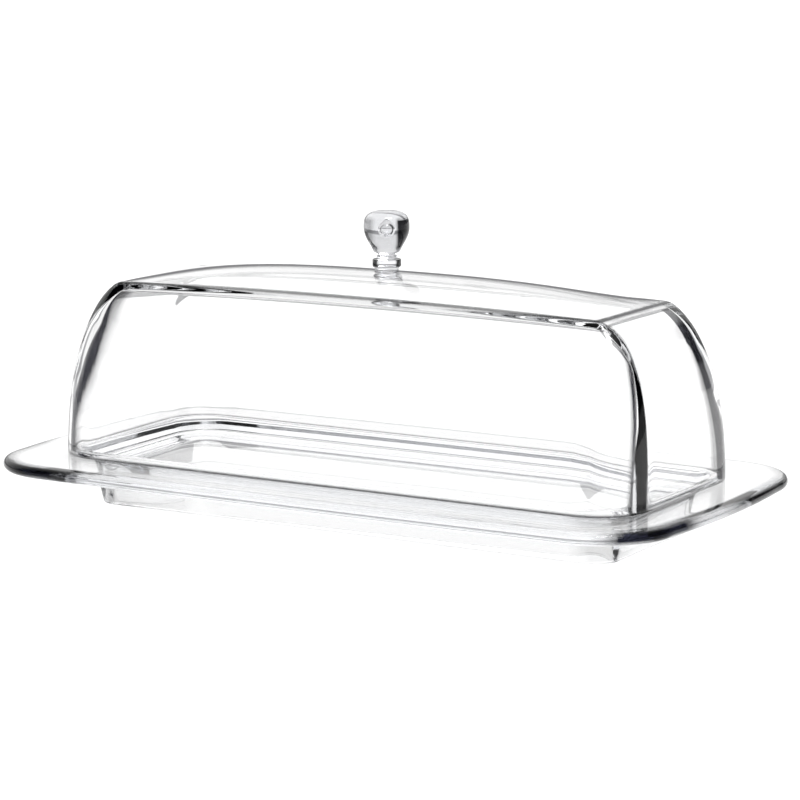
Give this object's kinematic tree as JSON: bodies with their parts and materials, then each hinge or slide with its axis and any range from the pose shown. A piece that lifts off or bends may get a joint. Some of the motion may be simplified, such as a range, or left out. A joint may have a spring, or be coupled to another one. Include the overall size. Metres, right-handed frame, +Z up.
{
  "type": "butter dish",
  "caption": "Clear butter dish: footed tray with a wide flange and a shallow well, and a loaf-shaped lid with a ball knob that lifts off.",
  "frame": {"origin": "under the centre of the foot, on the surface that the dish stands on", "axes": "+Z up; +X along the dish's length; +Y across it. The dish is the same from either side and either end."},
  "size_m": [0.2, 0.103, 0.0802],
  "materials": {
    "clear_tray": "polished",
    "clear_lid": "polished",
    "clear_knob": "polished"
  },
  "bodies": {
    "tray": {"tray": "clear_tray"},
    "lid": {"lid": "clear_lid", "knob": "clear_knob"}
  },
  "joints": [
    {"name": "lid_lift", "type": "slide", "parent": "tray", "child": "lid", "axis": [0, 0, 1], "range_m": [0, 0.09]}
  ]
}
